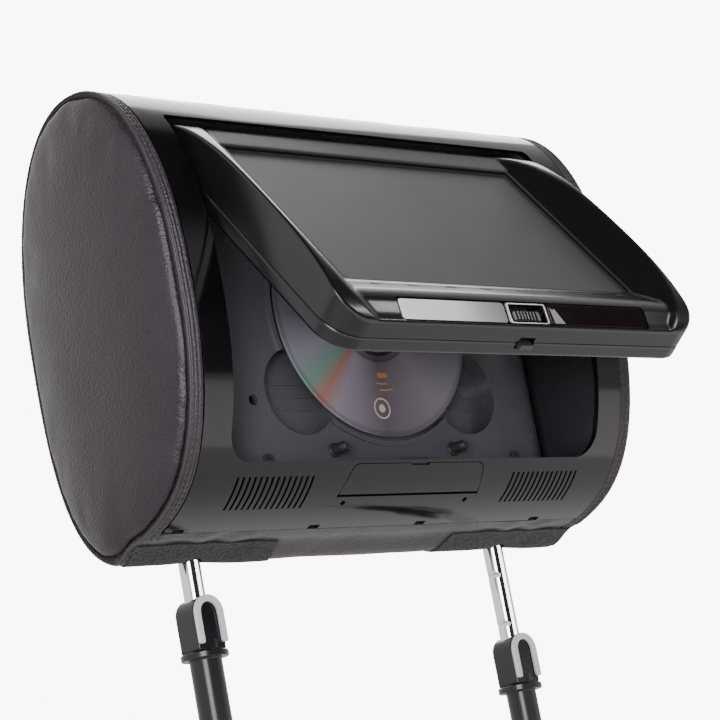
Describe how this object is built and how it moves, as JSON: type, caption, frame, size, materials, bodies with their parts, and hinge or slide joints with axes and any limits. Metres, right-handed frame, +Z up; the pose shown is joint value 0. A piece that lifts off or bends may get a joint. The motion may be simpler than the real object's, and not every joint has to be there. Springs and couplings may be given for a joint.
{
  "type": "headrest disc player",
  "caption": "Padded car headrest with two posts and a built-in disc player behind a screen that flips up from its plastic front.",
  "frame": {"origin": "midway between the tips of the two posts, on the plane of their ends", "axes": "+Z up along the posts into the padding, +X to the viewer's right across the screen, -Y the way the screen faces"},
  "size_m": [0.3016, 0.1815, 0.3571],
  "materials": {
    "chrome": "polished",
    "bright_steel": "satin",
    "dark_steel": "satin",
    "foam": "matte",
    "leatherette": "pebbled",
    "loop_tape": "matte",
    "gloss_black": "gloss",
    "satin_black": "satin",
    "grey_plastic": "satin",
    "display": "satin",
    "disc_silver": "polished",
    "board_green": "satin",
    "soft_black": "matte"
  },
  "bodies": {
    "headrest": {"post_left": "chrome", "post_right": "chrome", "post_rail": "dark_steel", "post_clamp_left": "dark_steel", "post_clamp_right": "dark_steel", "clamp_screws": "bright_steel", "foam_core": "foam", "cover_wrap": "leatherette", "side_panel_left": "leatherette", "side_panel_right": "leatherette", "base_patches": "loop_tape", "fascia": "gloss_black", "bay_tub": "satin_black", "deck_plate": "satin_black", "deck_screws": "bright_steel", "locating_pins": "satin_black", "speaker_left": "satin_black", "speaker_right": "satin_black", "media_board": "board_green", "main_board": "board_green", "drive_frame": "bright_steel", "spindle_motor": "bright_steel", "guide_rods": "bright_steel", "sled_motor": "bright_steel", "drive_dampers": "soft_black", "latch_striker": "bright_steel", "hinge_cable": "soft_black"},
    "screen": {"screen_bezel": "gloss_black", "screen_back": "satin_black", "lcd_module": "grey_plastic", "screen_glass": "display", "display_board": "board_green", "hinge_pin_left": "bright_steel", "hinge_pin_right": "bright_steel", "screen_screws": "bright_steel", "key_marks": "satin_black", "gloss_strip": "gloss_black", "ir_window": "gloss_black", "latch_frame": "satin_black"},
    "latch": {"latch_button": "satin_black", "latch_hook": "bright_steel"},
    "card_flap": {"card_door": "gloss_black", "card_door_pins": "bright_steel"},
    "spindle": {"spindle_hub": "satin_black", "spindle_shaft": "bright_steel"},
    "disc": {"disc": "disc_silver"},
    "sled": {"pickup_sled": "satin_black", "pickup_lens": "display"},
    "lead_screw": {"lead_screw": "bright_steel"},
    "sleeve_left": {"guide_sleeve_left": "satin_black", "guide_clip_left": "grey_plastic"},
    "sleeve_right": {"guide_sleeve_right": "satin_black", "guide_clip_right": "grey_plastic"}
  },
  "joints": [
    {"name": "screen_hinge", "type": "hinge", "parent": "headrest", "child": "screen", "pos_m": [0, -0.0545, 0.3215], "axis": [-1, 0, 0], "range_deg": [-37, 23]},
    {"name": "latch_slide", "type": "slide", "parent": "screen", "child": "latch", "axis": [0, 0.1569, 0.9876], "range_m": [0, 0.0015], "stiffness_N_per_m": 300},
    {"name": "card_flap_hinge", "type": "hinge", "parent": "headrest", "child": "card_flap", "pos_m": [0, -0.0483, 0.1631], "axis": [1, 0, 0], "range_deg": [0, 90]},
    {"name": "spindle_spin", "type": "hinge", "parent": "headrest", "child": "spindle", "pos_m": [0, -0.045, 0.25], "axis": [0, -1, 0], "continuous": true},
    {"name": "disc_lift", "type": "slide", "parent": "spindle", "child": "disc", "axis": [0, -1, 0], "range_m": [0, 0.003]},
    {"name": "sled_slide", "type": "slide", "parent": "headrest", "child": "sled", "axis": [1, 0, 0], "range_m": [0, 0.034]},
    {"name": "lead_screw_spin", "type": "hinge", "parent": "headrest", "child": "lead_screw", "pos_m": [0, -0.0254, 0.244], "axis": [1, 0, 0], "range_deg": [0, 4081]},
    {"name": "sleeve_left_slide", "type": "slide", "parent": "headrest", "child": "sleeve_left", "axis": [0, 0, 1], "range_m": [-0.055, 0.012]},
    {"name": "sleeve_right_slide", "type": "slide", "parent": "headrest", "child": "sleeve_right", "axis": [0, 0, 1], "range_m": [-0.026, 0.041]}
  ],
  "couplings": [
    {"joint": "lead_screw_spin", "follows": "sled_slide", "rad_per_m": 2094.4}
  ]
}
